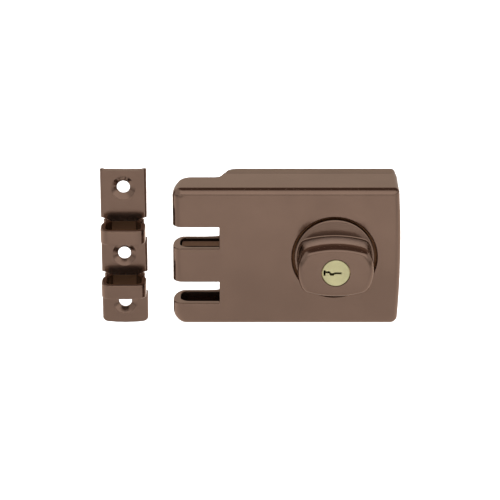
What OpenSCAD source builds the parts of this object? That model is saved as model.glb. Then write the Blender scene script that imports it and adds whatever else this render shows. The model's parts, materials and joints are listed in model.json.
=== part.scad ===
// Interlocking rim latch with a turn knob, a key plug in the knob, and its strike.
// X runs along the door away from the frame, Y goes into the door, and Z is up.
// The origin is the knob's axis on the door face. The bolt is drawn raised, and the
// strike is drawn clear of the fingers.

/* [Case] */
// Knob axis to the edge of the door
backset = 60; // [55:0.5:70]
// How far the fingers reach past the door's edge, less the wall behind the slots
finger_reach = 24.6; // [23:0.1:27]
// Knob axis to the middle of the bowed right end
right_reach = 34.9; // [33:0.1:40]
// Height of the case
case_h = 76; // [74:0.5:78]
// Front face to the door
case_d = 35; // [34:0.5:36]
// Depth of the fingers, measured back from the front face
finger_d = 20; // [19.5:0.25:20.5]
// Bow of the right end over the height of the case
end_bow = 1.3; // [0.8:0.1:1.8]
// Radius along the front edges
front_r = 3.6; // [2.5:0.1:4]
// Radius on the left ends of the fingers, seen from above
finger_end_r = 5.4; // [4:0.1:6]
// Thickness of the front wall
front_wall = 3; // [2.5:0.1:3.2]
// Thickness of the top and bottom walls
edge_wall = 2.5; // [2:0.1:2.8]
// Thickness of the base behind the cover
base_t = 8.5; // [8:0.25:9]

/* [Slots] */
// Height of each slot between the fingers
slot_h = 12; // [11.5:0.1:12.3]
// Bottom of the upper slot above the knob axis
slot_z = 4.8; // [4.5:0.1:5]
// Distance between the two slots, centre to centre
slot_pitch = 30.7; // [30.4:0.1:30.8]

/* [Bolt] */
// Downward travel of the bolt
bolt_travel = 14; // [13:0.1:14.2]
// Width of a prong
prong_w = 12; // [10:0.25:12.5]
// Depth of a prong, front to back
prong_d = 7.4; // [6.5:0.1:7.6]
// Height of the arm that joins a prong to the carriage
arm_h = 4; // [3.5:0.1:4]

/* [Knob] */
// Radius of the round opening in the cover
opening_r = 22.35; // [22.2:0.05:22.6]
// Radius of the knob's disc
disc_r = 21; // [20.6:0.1:21.2]
// How far the grip stands out of the disc
grip_out = 23; // [21:0.5:24]
// Half the height of the grip at its middle
grip_half_h = 14.6; // [14:0.1:15]
// Half the height of the grip where it meets the disc
grip_waist = 12.4; // [12:0.1:13]
// Half the width of the grip
grip_half_w = 19.8; // [19:0.1:20.2]
// Radius on the front edges of the grip
grip_front_r = 6.6; // [4:0.1:7]

/* [Key plug] */
// Radius of the plug
plug_r = 6.4; // [6.2:0.05:6.5]
// Radius of the plug's face
plug_face_r = 7.1; // [7:0.05:7.2]
// Number of pin chambers
pin_count = 5; // [4:1:5]
// Stroke of the locking bar
bar_travel = 4; // [3.5:0.1:4]

/* [Strike] */
// Height of the strike
strike_h = 87; // [86:0.5:88]
// Width of the strike
strike_w = 24.6; // [24:0.1:25]
// Thickness of the strike's plate
strike_t = 3; // [2.8:0.1:3]
// How far the rings stand in front of the plate
ring_out = 16; // [15.5:0.1:16.2]
// Height of each ring
ring_h = 8; // [7.5:0.1:8.2]
// Wall of the rings
ring_wall = 2.7; // [2.4:0.1:2.8]
// Gap between the strike and the fingers while the door is open
strike_gap = 14.2; // [12:0.1:18]

/* [Hidden] */

$fn = 64;
eps = 0.01;
brown = [0.40, 0.32, 0.27];
steel = [0.68, 0.69, 0.70];
dark_steel = [0.42, 0.42, 0.44];
brass = [0.78, 0.72, 0.50];
spring_steel = [0.55, 0.56, 0.60];

// Case
top_z = case_h / 2;
front_y = -case_d;
finger_back = front_y + finger_d;
slot_end = -backset - 0.7;
left_x = slot_end - finger_reach;
wall_x = slot_end + 2.7;
rear_wall_x = slot_end + 5.2;
inner_right = right_reach - 2.8;
inner_top = top_z - edge_wall;
bow_r = top_z * top_z / (2 * end_bow) + end_bow / 2;
corner_left_top_r = 9;
corner_left_low_r = 7;
corner_top_r = 2.8;
corner_bottom_r = 4;
base_front = -base_t;
base_inset = 0.3;
slope = 20;
rear_concave_r = 3.5;
rear_convex_r = 6;

// Finger cavity
finger_wall_left = 3.8;
cavity_corner_r = 5;
cavity_front = front_y + 3.7;
cavity_back = finger_back - 2.2;
cavity_left = left_x + finger_wall_left;
finger_2_top = slot_z;
finger_1_low = slot_z + slot_h;
finger_2_low = finger_1_low - slot_pitch;
finger_3_top = finger_2_top - slot_pitch;

// Mounting plate and its holes
plate_t = 2.5;
plate_half_h = 32.8;
plate_left = -52.8;
plate_right = 28.8;
fix_x = [-46, 22];
fix_z = 27;
fix_r = 2.4;
tail_hole_r = 8;
connect_x = 12.5;
connect_r = 3;
lug_x = [-34, 12];
lug_z = -30;
lug_t = 2.4;
lug_screw_y = -5.2;
lug_screw_r = 1.5;

// Cover screws
boss_r = 4;
boss_at = [[29.2, 31.6], [29.2, -31.6], [-22, 31.8], [-22, -31.8]];
cover_screw_r = 1.6;
cover_screw_in = 11;

// Knob and hub, front to back
flange_r = 24.4;
flange_front = front_y + front_wall + 0.1;
flange_back = front_y + 4.7;
retainer_back = flange_back + 1.5;
hub_back = retainer_back + 5.9;
hub_r = 23;
neck_r = 5.2;
neck_end = -plate_t - 0.3;
hub_screw_at = [[15.6, 8.6], [-15.6, 8.6], [-15.6, -8.6], [15.6, -8.6]];
hub_screw_r = 1.5;
lock_ring_in = 24.9;
lock_ring_out = 29;
lock_ring_back = -26;
grip_front = front_y - grip_out;
grip_bow_r = 52;
grip_base_r = 2.4;
dome_r = 100;
dome_rise = dome_r - sqrt(dome_r * dome_r - disc_r * disc_r);

// Crank
crank_r = bolt_travel / (2 * sin(45));
crank_x = -crank_r * cos(45);
crank_z = crank_r * sin(45);
crank_pin_r = 2;
crank_play = 0.4;

// Carriage, posts and prongs
carriage_back = -17.5;
carriage_front = -20;
carriage_left = wall_x + 0.6;
carriage_right = -5.8;
carriage_top = 26.5;
carriage_low = -13;
column_right = -48;
post_x = [-42, -24.5];
post_r = 3;
post_shank_r = 2;
post_play = 0.1;
prong_back = carriage_front;
prong_front = prong_back - prong_d;
prong_left = cavity_left + 1;
prong_right = prong_left + prong_w;
arm_right = column_right;
upper_arm_top = inner_top - 0.5;
lower_arm_top = finger_2_top - 1.1;
prong_low_gap = 0.4;
rivet_x = (carriage_left + column_right) / 2;
rivet_r = 1.5;

// Detent spring and the height of its two posts
detent_x = 7;
detent_t = 0.6;
detent_z = [-18, 18];

// Key plug and pins
plug_front = grip_front;
face_t = 1.6;
plug_back = flange_back - 0.2;
body_r = 9.2;
body_front = plug_front + face_t + 0.1;
chamber_r = 1.45;
pin_r = 1.35;
first_pin = body_front + 4.5;
pin_pitch = 3.9;
shear_x = plug_r + 0.03;
driver_len = 3;
spring_end = 15;
cap_end = 16.6;
bar_half_w = 5.2;
bar_back = retainer_back + 2.5;
bar_tip = 22.6;
bar_low = -6.5;
cam_crank = bar_travel / (2 * sin(45));
cam_x = cam_crank * cos(45);
cam_z = -cam_crank * sin(45);
cam_pin_r = 1.1;
cam_play = 0.15;

// Strike
strike_right = left_x - strike_gap;
strike_x = strike_right - strike_w / 2;
strike_front = finger_back + 0.5;
strike_back = strike_front + strike_t;
strike_top = 42;
strike_low = strike_top - strike_h;
ring_low = [slot_z + 0.3, slot_z + 0.3 - slot_pitch];
ring_front = strike_front - ring_out;
strike_hole_z = [strike_top - 10.3, strike_top - 47.7, strike_top - 75.2];
strike_hole_r = 3.45;
strike_sink_r = 6.3;
strike_sink_d = 1.8;

// Points of an arc from angle a0 to a1 round a centre
function arc(c, r, a0, a1, n = 10) =
    [for (i = [0:n]) c + r * [cos(a0 + (a1 - a0) * i / n), sin(a0 + (a1 - a0) * i / n)]];

// Lays an XZ outline from y0 back to y1
module along_y(y0, y1) {
    translate([0, y1, 0]) rotate([90, 0, 0]) linear_extrude(y1 - y0) children();
}

// Lays a YZ outline from x0 to x1
module along_x(x0, x1) {
    translate([x0, 0, 0]) rotate([90, 0, 90]) linear_extrude(x1 - x0) children();
}

// A round bar or hole along Y
module rod_y(x, z, r, y0, y1) {
    translate([x, y1, z]) rotate([90, 0, 0]) cylinder(h = y1 - y0, r = r);
}

// A round bar or hole along X
module rod_x(y, z, r, x0, x1) {
    translate([x0, y, z]) rotate([0, 90, 0]) cylinder(h = x1 - x0, r = r);
}

// A round bar or hole along Z
module rod_z(x, y, r, z0, z1) {
    translate([x, y, z0]) cylinder(h = z1 - z0, r = r);
}

// A block between two corners
module block(low, high) {
    translate(low) cube(high - low);
}

// What a radius takes off a square corner; sx and sy point into the shape
module corner_cut(x, y, sx, sy, r) {
    translate([x, y]) scale([sx, sy]) difference() {
        translate([-1, -1]) square(r + 1);
        translate([r, r]) circle(r);
    }
}

// Countersunk head with its small end at y1, looking along +Y
module sunk_head(x, z, r_small, r_big, y0, y1) {
    translate([x, y1, z]) rotate([90, 0, 0]) cylinder(h = y1 - y0, r1 = r_small, r2 = r_big);
}

// Outline of the case from above, with its stepped left end
module case_plan(inset = 0) {
    pass_x = left_x + finger_end_r + 4;
    concave_c = [slot_end - 2.9, finger_back + rear_concave_r];
    slope_from = concave_c + rear_concave_r * [cos(-slope), sin(-slope)];
    slope_len = (0 - rear_convex_r + rear_convex_r * sin(slope) - slope_from[1]) / cos(slope);
    slope_to = slope_from + slope_len * [sin(slope), cos(slope)];
    convex_c = slope_to + rear_convex_r * [cos(slope), -sin(slope)];
    difference() {
        polygon(concat(
            [[left_x, front_y], [right_reach + 1, front_y], [right_reach + 1, 0]],
            arc(convex_c + [inset, 0], rear_convex_r, 90, 180 - slope),
            arc(concave_c + [inset, 0], rear_concave_r, -slope, -90),
            [[left_x, finger_back]]));
        corner_cut(left_x, front_y, 1, 1, finger_end_r);
        corner_cut(left_x, finger_back, 1, -1, finger_end_r - 0.6);
    }
}

// Outline of the case from the front
module case_front(inset = 0) {
    high = top_z - inset;
    difference() {
        translate([left_x, -high]) square([right_reach + 2 - left_x, 2 * high]);
        corner_cut(left_x, high, 1, -1, corner_left_top_r);
        corner_cut(left_x, -high, 1, 1, corner_left_low_r);
    }
}

// Outline of the case from the side, rounded along the front edges
module case_side(inset = 0) {
    high = top_z - inset;
    difference() {
        translate([front_y, -high]) square([case_d, 2 * high]);
        corner_cut(front_y, high, 1, -1, front_r);
        corner_cut(front_y, -high, 1, 1, front_r);
    }
}

// Round body whose rim is the bowed right end
module bowed_end(inset = 0) {
    rim = bow_r - inset;
    translate([right_reach - bow_r, 0, 0]) rotate([90, 0, 0]) rotate_extrude($fn = 180) difference() {
        square([rim, case_d]);
        corner_cut(rim, case_d, -1, -1, front_r);
    }
}

// Rounded corners of the right end, seen from the front
module right_corners(inset = 0) {
    high = top_z - inset;
    end_x = right_reach - end_bow - inset;
    along_y(front_y - 1, 1) {
        corner_cut(end_x, high, -1, -1, corner_top_r);
        corner_cut(end_x, -high, -1, 1, corner_bottom_r);
    }
}

// Outer form of the case between two depths
module case_form(y0, y1, inset = 0) {
    difference() {
        intersection() {
            along_y(y0, y1) case_front(inset);
            translate([0, 0, -top_z - 1]) linear_extrude(case_h + 2) case_plan(inset);
            along_x(left_x - 1, right_reach + 2) case_side(inset);
            bowed_end(inset);
        }
        right_corners(inset);
    }
}

// Space inside one finger, open to the middle of the case
module finger_cavity(z0, z1) {
    translate([0, 0, z0]) linear_extrude(z1 - z0) difference() {
        translate([cavity_left, cavity_front]) square([wall_x + 2 - cavity_left, cavity_back - cavity_front]);
        corner_cut(cavity_left, cavity_front, 1, 1, cavity_corner_r);
        corner_cut(cavity_left, cavity_back, 1, -1, cavity_corner_r);
    }
}

module case_cover() {
    color(brown) difference() {
        union() {
            difference() {
                case_form(front_y, base_front);
                for (z = [slot_z, slot_z - slot_pitch])
                    block([left_x - 1, front_y - 1, z], [slot_end, 1, z + slot_h]);
                block([wall_x, front_y + front_wall, -inner_top], [inner_right, finger_back, inner_top]);
                block([rear_wall_x, finger_back - 1, -inner_top], [inner_right, 1, inner_top]);
                finger_cavity(finger_1_low - 1, inner_top);
                finger_cavity(finger_2_low - 1, finger_2_top + 1);
                finger_cavity(-inner_top, finger_3_top + 1);
            }
            for (p = boss_at)
                rod_y(p[0], p[1], boss_r, front_y + front_wall - eps, base_front);
        }
        rod_y(0, 0, opening_r, front_y - 1, front_y + front_wall + 1);
        for (p = boss_at)
            rod_y(p[0], p[1], cover_screw_r, base_front - cover_screw_in, 0);
    }
}

// Ring behind the front wall, with a notch for the locking bar at each stop of the knob
module lock_ring() {
    half_w = bar_half_w + 0.4;
    notch_out = lock_ring_out - 1.4;
    color(steel) difference() {
        rod_y(0, 0, lock_ring_out, front_y + front_wall, lock_ring_back);
        rod_y(0, 0, lock_ring_in, front_y, 0);
        block([-half_w, flange_back + 0.4, 0], [half_w, 0, notch_out]);
        block([-notch_out, flange_back + 0.4, -half_w], [0, 0, half_w]);
    }
}

module base() {
    boss_front = carriage_back + 0.3;
    color(brown) difference() {
        union() {
            case_form(base_front, 0, base_inset);
            rod_y(0, 0, 9, -13, base_front + eps);
            for (x = post_x)
                rod_y(x, 0, 5.5, boss_front, base_front + eps);
            for (z = detent_z)
                rod_y(detent_x + 1.6, z, 4, boss_front, base_front + eps);
        }
        block([plate_left - 0.3, -plate_t, -plate_half_h - 0.3], [plate_right + 0.3, 1, plate_half_h + 0.3]);
        rod_y(0, 0, neck_r + 0.05, -40, 1);
        for (x = [-connect_x, connect_x])
            rod_y(x, 0, 6, -6, 0);
        for (x = lug_x) {
            block([x - 5.4, -8, lug_z - lug_t / 2 - 0.2], [x + 5.4, 0, lug_z + lug_t / 2 + 0.2]);
            rod_z(x, lug_screw_y, lug_screw_r + 0.25, -top_z - 1, lug_z);
            rod_z(x, lug_screw_y, lug_screw_r + 0.25, lug_z, lug_z + 4);
            rod_z(x, lug_screw_y, 3, -top_z - 1, 1.8 - top_z);
        }
        for (x = post_x)
            rod_y(x, 0, post_shank_r, boss_front - 1, -plate_t - 1);
        for (z = detent_z)
            block([detent_x, boss_front - 1, z - 6], [detent_x + detent_t, boss_front + 4, z + 6]);
        for (p = boss_at) {
            rod_y(p[0], p[1], cover_screw_r + 0.2, base_front - 1, 0);
            rod_y(p[0], p[1], 3.2, -plate_t - 2.6, 0);
        }
    }
}

module mounting_plate() {
    color(steel) difference() {
        union() {
            along_y(-plate_t, 0) difference() {
                translate([plate_left, -plate_half_h])
                    square([plate_right - plate_left, 2 * plate_half_h]);
                for (sx = [-1, 1], sz = [-1, 1])
                    corner_cut(sx < 0 ? plate_left : plate_right, sz * plate_half_h, -sx, -sz, 3);
            }
            for (x = lug_x)
                block([x - 5, -7.8, lug_z - lug_t / 2], [x + 5, -plate_t + eps, lug_z + lug_t / 2]);
        }
        rod_y(0, 0, tail_hole_r, -10, 1);
        for (x = [-connect_x, connect_x])
            rod_y(x, 0, connect_r, -10, 1);
        for (x = fix_x, z = [-fix_z, fix_z]) {
            rod_y(x, z, fix_r, -10, 1);
            sunk_head(x, z, fix_r, fix_r + 1.6, -plate_t - eps, -plate_t + 1.4);
        }
        for (x = lug_x)
            rod_z(x, lug_screw_y, lug_screw_r, lug_z - 3, lug_z + 3);
    }
}

module cover_screws() {
    head_front = -plate_t - 2.6;
    color(steel) for (p = boss_at) difference() {
        union() {
            rod_y(p[0], p[1], cover_screw_r, base_front - cover_screw_in + 1, head_front + eps);
            rod_y(p[0], p[1], 3, head_front, head_front + 2);
        }
        block([p[0] - 4, head_front + 1, p[1] - 0.4], [p[0] + 4, 0, p[1] + 0.4]);
    }
}

module case_fixing_screws() {
    head_low = -top_z + 0.4;
    color(dark_steel) for (x = lug_x) difference() {
        union() {
            rod_z(x, lug_screw_y, lug_screw_r, head_low, lug_z + 3);
            rod_z(x, lug_screw_y, 2.75, head_low, head_low + 1.4);
        }
        block([x - 3, lug_screw_y - 0.35, head_low - 1], [x + 3, lug_screw_y + 0.35, head_low + 0.7]);
    }
}

module guide_posts() {
    head_back = carriage_front - 0.2;
    color(steel) for (x = post_x) difference() {
        union() {
            rod_y(x, 0, 5, head_back - 1.4, head_back);
            rod_y(x, 0, post_r, head_back - eps, carriage_back + 0.3);
            rod_y(x, 0, post_shank_r, carriage_back, -4.5);
        }
        block([x - 6, head_back - 3, -0.5], [x + 6, head_back - 0.7, 0.5]);
    }
}

module detent_spring() {
    color(spring_steel)
        block([detent_x, carriage_back + 0.4, -22], [detent_x + detent_t, carriage_back + 3.9, 22]);
}

// Half of the grip's side outline: distance from the middle against depth
module grip_profile() {
    hub = grip_bow_r - grip_half_h;
    widest = grip_half_h - grip_front_r;
    translate([0, grip_front]) square([hub + widest, grip_out]);
    translate([hub + widest, grip_front + grip_front_r]) circle(grip_front_r);
    polygon([[hub, grip_front + grip_front_r], [hub + grip_half_h, grip_front + grip_front_r],
             [hub + grip_waist, front_y - grip_base_r], [hub + grip_waist, front_y + 0.5],
             [hub, front_y + 0.5]]);
    translate([hub + grip_waist - eps, front_y - grip_base_r]) difference() {
        square([grip_base_r + eps, grip_base_r + 0.5]);
        translate([grip_base_r + eps, 0]) circle(grip_base_r);
    }
}

// Round body whose rim is the grip's bowed top
module grip_bow() {
    translate([0, 0, grip_half_h - grip_bow_r]) rotate([-90, 0, 0]) rotate_extrude($fn = 120) intersection() {
        grip_profile();
        translate([0, -80]) square([80, 80]);
    }
}

// Disc of the knob, level with the case at its rim and slightly domed
module knob_disc() {
    intersection() {
        rod_y(0, 0, disc_r, front_y - dome_rise, flange_front + eps);
        translate([0, front_y - dome_rise + dome_r, 0]) sphere(dome_r, $fn = 360);
    }
}

module knob_grip() {
    color(brown) difference() {
        union() {
            knob_disc();
            rod_y(0, 0, flange_r, flange_front, flange_back);
            intersection() {
                grip_bow();
                mirror([0, 0, 1]) grip_bow();
                union() {
                    rod_y(0, 0, grip_half_w, grip_front + 2, front_y + 0.5);
                    rod_y(0, 0, grip_half_w - 2, grip_front - 1, front_y);
                    translate([0, grip_front + 2, 0]) rotate([90, 0, 0]) rotate_extrude()
                        translate([grip_half_w - 2, 0]) circle(2);
                }
            }
        }
        rod_y(0, 0, plug_face_r + 0.3, grip_front - 1, body_front + 1);
        rod_y(0, 0, body_r, body_front, 0);
        block([0, body_front, -3.4], [cap_end, 0, 3.4]);
        for (p = hub_screw_at)
            rod_y(p[0], p[1], hub_screw_r, front_y + 1.4, 0);
    }
}

module cylinder_body() {
    color(brass) difference() {
        union() {
            rod_y(0, 0, body_r, body_front, flange_back);
            block([0, body_front, -3.4], [cap_end, flange_back, 3.4]);
        }
        rod_y(0, 0, plug_r + 0.05, body_front - 1, 0);
        for (i = [0:pin_count - 1])
            rod_x(first_pin + i * pin_pitch, 0, chamber_r, 0, spring_end);
        block([spring_end, body_front - 1, -2], [cap_end + 1, flange_back + 1, 2]);
    }
}

module driver_pins() {
    color(brass) for (i = [0:pin_count - 1])
        rod_x(first_pin + i * pin_pitch, 0, pin_r, shear_x, shear_x + driver_len);
}

// A coil spring drawn as stacked turns
module stacked_coil(x0, x1, r, wire, turns) {
    rotate([0, 90, 0]) for (i = [0:turns - 1])
        translate([0, 0, x0 + wire + i * (x1 - x0 - 2 * wire) / (turns - 1)])
            rotate_extrude($fn = 32) translate([r - wire, 0]) circle(wire, $fn = 16);
}

module pin_springs() {
    start = shear_x + driver_len;
    color(spring_steel) for (i = [0:pin_count - 1])
        translate([0, first_pin + i * pin_pitch, 0]) stacked_coil(start, spring_end, pin_r, 0.22, 6);
}

module chamber_cap() {
    color(brass) block([spring_end, body_front, -2], [cap_end, flange_back, 2]);
}

module retainer_plate() {
    color(steel) difference() {
        rod_y(0, 0, hub_r, flange_back, retainer_back);
        rod_y(0, 0, 5, -80, 0);
        for (p = hub_screw_at)
            rod_y(p[0], p[1], hub_screw_r + 0.2, -80, 0);
    }
}

module driver_hub() {
    collar_front = carriage_back + 0.4;
    color(dark_steel) difference() {
        union() {
            rod_y(0, 0, hub_r, retainer_back, hub_back);
            rod_y(0, 0, neck_r, hub_back - eps, neck_end);
            intersection() {
                rod_y(0, 0, 8, collar_front, collar_front + 3.9);
                block([-9, -80, 0.05 - detent_x], [detent_x - 0.05, 0, 9]);
            }
        }
        block([-bar_half_w - 0.1, retainer_back - 1, bar_low - 3], [bar_half_w + 0.1, bar_back + 0.1, hub_r + 1]);
        for (p = hub_screw_at) {
            rod_y(p[0], p[1], hub_screw_r + 0.2, -80, 0);
            rod_y(p[0], p[1], 2.9, hub_back - 2, 0);
        }
        rod_y(crank_x, crank_z, crank_pin_r, hub_back - 3, 0);
        block([-4, -14, -1.1], [4, 0, 1.1]);
        block([-1.1, -14, -4], [1.1, 0, 4]);
    }
}

module hub_screws() {
    head_front = hub_back - 2;
    color(steel) for (p = hub_screw_at) difference() {
        union() {
            rod_y(p[0], p[1], hub_screw_r, front_y + 1.6, head_front + eps);
            rod_y(p[0], p[1], 2.7, head_front, head_front + 1.8);
        }
        block([p[0] - 3, head_front + 0.9, p[1] - 0.35], [p[0] + 3, 0, p[1] + 0.35]);
    }
}

module crank_pin() {
    color(steel) rod_y(crank_x, crank_z, crank_pin_r, hub_back - 3, carriage_back + 0.2);
}

// Section of the keyway, cut from end to end of the plug
module keyway() {
    along_y(grip_front - 1, plug_back + 1) {
        translate([-6.5, -1.35]) square([1.1, 3.1]);
        translate([-5.6, 0]) square([2.4, 1.1]);
        polygon([[-3.5, 0], [-3.2, 1.1], [-2.6, 0.1], [-1.4, 0.1], [-0.6, 0.5], [-0.2, -0.5],
                 [-1.2, -1.3], [-2.9, -1.3], [-3.4, -0.5]]);
        translate([-0.6, -0.5]) square([3.5, 1]);
    }
}

module key_plug() {
    color(brass) difference() {
        union() {
            rod_y(0, 0, plug_face_r, plug_front, plug_front + face_t - 0.1);
            rod_y(0, 0, plug_r, plug_front + face_t - 0.2, plug_back);
        }
        keyway();
        for (i = [0:pin_count - 1])
            rod_x(first_pin + i * pin_pitch, 0, chamber_r, 0, plug_r + 1);
        rod_y(0, 3.6, 0.9, plug_back - 5, 0);
    }
}

// Key pins of different lengths, level with the plug's surface
module key_pins() {
    lengths = [4.2, 5.6, 4.8, 6.0, 5.1];
    color(brass) for (i = [0:pin_count - 1])
        rod_x(first_pin + i * pin_pitch, 0, pin_r, shear_x - 0.08 - lengths[i], shear_x - 0.08);
}

module plug_cam() {
    color(steel) difference() {
        union() {
            rod_y(0, 0, 4.7, plug_back, retainer_back - 0.1);
            rod_y(cam_x, cam_z, cam_pin_r, plug_back, bar_back);
        }
        rod_y(0, 3.6, 0.9, -80, 0);
    }
}

module cam_screw() {
    head_front = retainer_back - 0.1;
    color(steel) rod_y(0, 3.6, 0.9, plug_back - 4.5, head_front);
}

module locking_bar() {
    slot_half_w = cam_pin_r + cam_play;
    color(steel) difference() {
        block([-bar_half_w, retainer_back, bar_low], [bar_half_w, bar_back, bar_tip]);
        block([cam_x - slot_half_w, -80, cam_z - slot_half_w], [cam_crank + slot_half_w, 0, cam_z + slot_half_w]);
    }
}

module bolt_carriage() {
    fork = crank_pin_r + crank_play;
    color(steel) difference() {
        union() {
            block([carriage_left, carriage_front, carriage_low], [carriage_right, carriage_back, carriage_top]);
            block([carriage_left, carriage_front, carriage_low], [column_right, carriage_back, upper_arm_top]);
        }
        for (x = post_x) {
            block([x - post_r - post_play, -80, 0], [x + post_r + post_play, 0, bolt_travel]);
            rod_y(x, 0, post_r + post_play, -80, 0);
            rod_y(x, bolt_travel, post_r + post_play, -80, 0);
        }
        block([-crank_r - fork, -80, crank_z - fork], [1, 0, crank_z + fork]);
        for (z = [upper_arm_top, lower_arm_top])
            rod_y(rivet_x, z - arm_h / 2, rivet_r, -80, 0);
    }
}

// A prong hangs from the arm that joins it to the carriage
module prong(arm_top, low) {
    color(dark_steel) difference() {
        union() {
            block([prong_left, prong_front, low], [prong_right, prong_back, arm_top]);
            block([prong_left, prong_front, arm_top - arm_h], [arm_right, prong_back, arm_top]);
        }
        translate([0, 0, low]) along_x(prong_left - 1, prong_right + 1) {
            corner_cut(prong_front, 0, 1, 1, 1.2);
            corner_cut(prong_back, 0, -1, 1, 1.2);
        }
        rod_y(rivet_x, arm_top - arm_h / 2, rivet_r, prong_front + 1, 0);
    }
}

module upper_prong() {
    prong(upper_arm_top, finger_1_low + prong_low_gap);
}

module lower_prong() {
    prong(lower_arm_top, finger_2_low + prong_low_gap);
}

module prong_rivets() {
    color(steel) for (z = [upper_arm_top, lower_arm_top]) {
        rod_y(rivet_x, z - arm_h / 2, rivet_r, prong_front + 1, carriage_back);
        rod_y(rivet_x, z - arm_h / 2, 1.9, carriage_back - eps, carriage_back + 0.5);
    }
}

// Outline of a ring from above, before it is hollowed; inset makes the hollow
module ring_plan(inset) {
    half = strike_w / 2 - 0.4 - inset;
    neck = 9 - inset;
    back = strike_front + (inset > 0 ? 0.5 : 0.3);
    flare = strike_front - 3.2;
    front = ring_front + inset;
    r = max(5.4 - inset, 1);
    difference() {
        union() {
            translate([-half, front]) square([2 * half, flare - front]);
            polygon([[-half, flare - eps], [half, flare - eps], [neck, back], [-neck, back]]);
        }
        corner_cut(-half, front, 1, 1, r);
        corner_cut(half, front, -1, 1, r);
    }
}

// Notches in both edges of the plate above and below a ring, and the narrow part between them
module ring_notches(z) {
    edge = strike_w / 2;
    ends = [z - 0.9, z + ring_h + 0.9];
    along_y(strike_front - eps, strike_back + 1) for (s = [-1, 1]) {
        for (end = ends)
            polygon([[s * (edge + 1), end + 1.4], [s * (edge - 3.1), end + 0.1],
                     [s * (edge - 3.1), end - 0.1], [s * (edge + 1), end - 1.4]]);
        polygon([[s * (edge - 1.5), ends[0]], [s * (edge + 1), ends[0]],
                 [s * (edge + 1), ends[1]], [s * (edge - 1.5), ends[1]]]);
    }
}

// Plate of the strike seen from above, with its long front edges rounded
module plate_edges() {
    edge = strike_w / 2;
    translate([0, 0, strike_low - 1]) linear_extrude(strike_h + 2) difference() {
        translate([-edge, strike_front]) square([strike_w, strike_t]);
        corner_cut(-edge, strike_front, 1, 1, 1.6);
        corner_cut(edge, strike_front, -1, 1, 1.6);
    }
}

module strike() {
    edge = strike_w / 2;
    color(brown) translate([strike_x, 0, 0]) difference() {
        union() {
            difference() {
                intersection() {
                    block([-edge, strike_front, strike_low], [edge, strike_back, strike_top]);
                    plate_edges();
                }
                for (z = ring_low) ring_notches(z);
            }
            for (z = ring_low) translate([0, 0, z]) linear_extrude(ring_h) difference() {
                ring_plan(0);
                ring_plan(ring_wall);
            }
        }
        for (z = strike_hole_z) {
            rod_y(0, z, strike_hole_r, strike_front - 1, strike_back + 1);
            sunk_head(0, z, strike_hole_r, strike_sink_r, strike_front - eps, strike_front + strike_sink_d);
        }
    }
}

case_cover();
base();
mounting_plate();
cover_screws();
case_fixing_screws();
lock_ring();
guide_posts();
detent_spring();
knob_grip();
cylinder_body();
driver_pins();
pin_springs();
chamber_cap();
retainer_plate();
driver_hub();
hub_screws();
crank_pin();
key_plug();
key_pins();
plug_cam();
cam_screw();
locking_bar();
bolt_carriage();
upper_prong();
lower_prong();
prong_rivets();
strike();
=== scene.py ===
import json
import math

import bmesh
import bpy
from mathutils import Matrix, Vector


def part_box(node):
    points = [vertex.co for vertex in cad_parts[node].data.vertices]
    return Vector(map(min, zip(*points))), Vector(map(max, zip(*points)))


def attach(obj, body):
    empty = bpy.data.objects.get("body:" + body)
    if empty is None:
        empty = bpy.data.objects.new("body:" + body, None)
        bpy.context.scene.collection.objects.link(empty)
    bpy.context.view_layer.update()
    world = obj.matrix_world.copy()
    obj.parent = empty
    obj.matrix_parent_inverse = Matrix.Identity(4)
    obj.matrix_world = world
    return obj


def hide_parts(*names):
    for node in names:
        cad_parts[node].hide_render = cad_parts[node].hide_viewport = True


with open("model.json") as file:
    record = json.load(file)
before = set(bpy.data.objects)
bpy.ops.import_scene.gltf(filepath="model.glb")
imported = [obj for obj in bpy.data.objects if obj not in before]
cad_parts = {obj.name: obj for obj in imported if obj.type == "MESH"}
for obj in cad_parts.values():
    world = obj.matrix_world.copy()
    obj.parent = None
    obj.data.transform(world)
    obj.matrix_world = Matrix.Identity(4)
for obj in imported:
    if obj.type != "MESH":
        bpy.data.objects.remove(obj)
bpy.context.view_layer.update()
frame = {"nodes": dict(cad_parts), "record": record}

MM = 0.001

# ---------------------------------------------------------------- sizes, in mm


def node_box(name):
    """Lowest and highest corner of a CAD node, in mm."""
    low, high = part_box(name)
    return low / MM, high / MM


COVER_LOW, COVER_HIGH = node_box("case_cover")
GRIP_LOW, GRIP_HIGH = node_box("knob_grip")
PLUG_LOW, PLUG_HIGH = node_box("key_plug")
STRIKE_LOW, STRIKE_HIGH = node_box("strike")

# Case: outside
LEFT = COVER_LOW.x
FRONT = COVER_LOW.y
TOP = COVER_HIGH.z
RIGHT = COVER_HIGH.x
JOINT = COVER_HIGH.y                 # where the cover meets the base
END_BOW = 1.3                        # bow of the right end over its height
FRONT_R = 3.6                        # front edges along the top, bottom and right
END_R = 5.4                          # left ends of the fingers, front
END_BACK_W = 6.5                     # left ends of the fingers, back: an ellipse
END_BACK_D = 12.0
EDGE_R = 0.55                        # edges of the slots
CORNER_LEFT_TOP_R = 5.0              # outer left corners, seen from the front
CORNER_LEFT_LOW_R = 7.0
CORNER_LEFT_MIN = 3.0                # the least they keep where the front and back edges round off
CORNER_TOP_R = 2.8                   # outer right corners
CORNER_LOW_R = 4.0
CORNER_MIN = 0.5
SEAM_R = 0.25                        # rear edge, at the joint with the base
END_SPAN = TOP - FRONT_R - CORNER_LOW_R
END_STEPS = 13
END_HEIGHTS = [END_SPAN * (1 - 2 * i / END_STEPS) for i in range(1, END_STEPS)]

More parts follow.
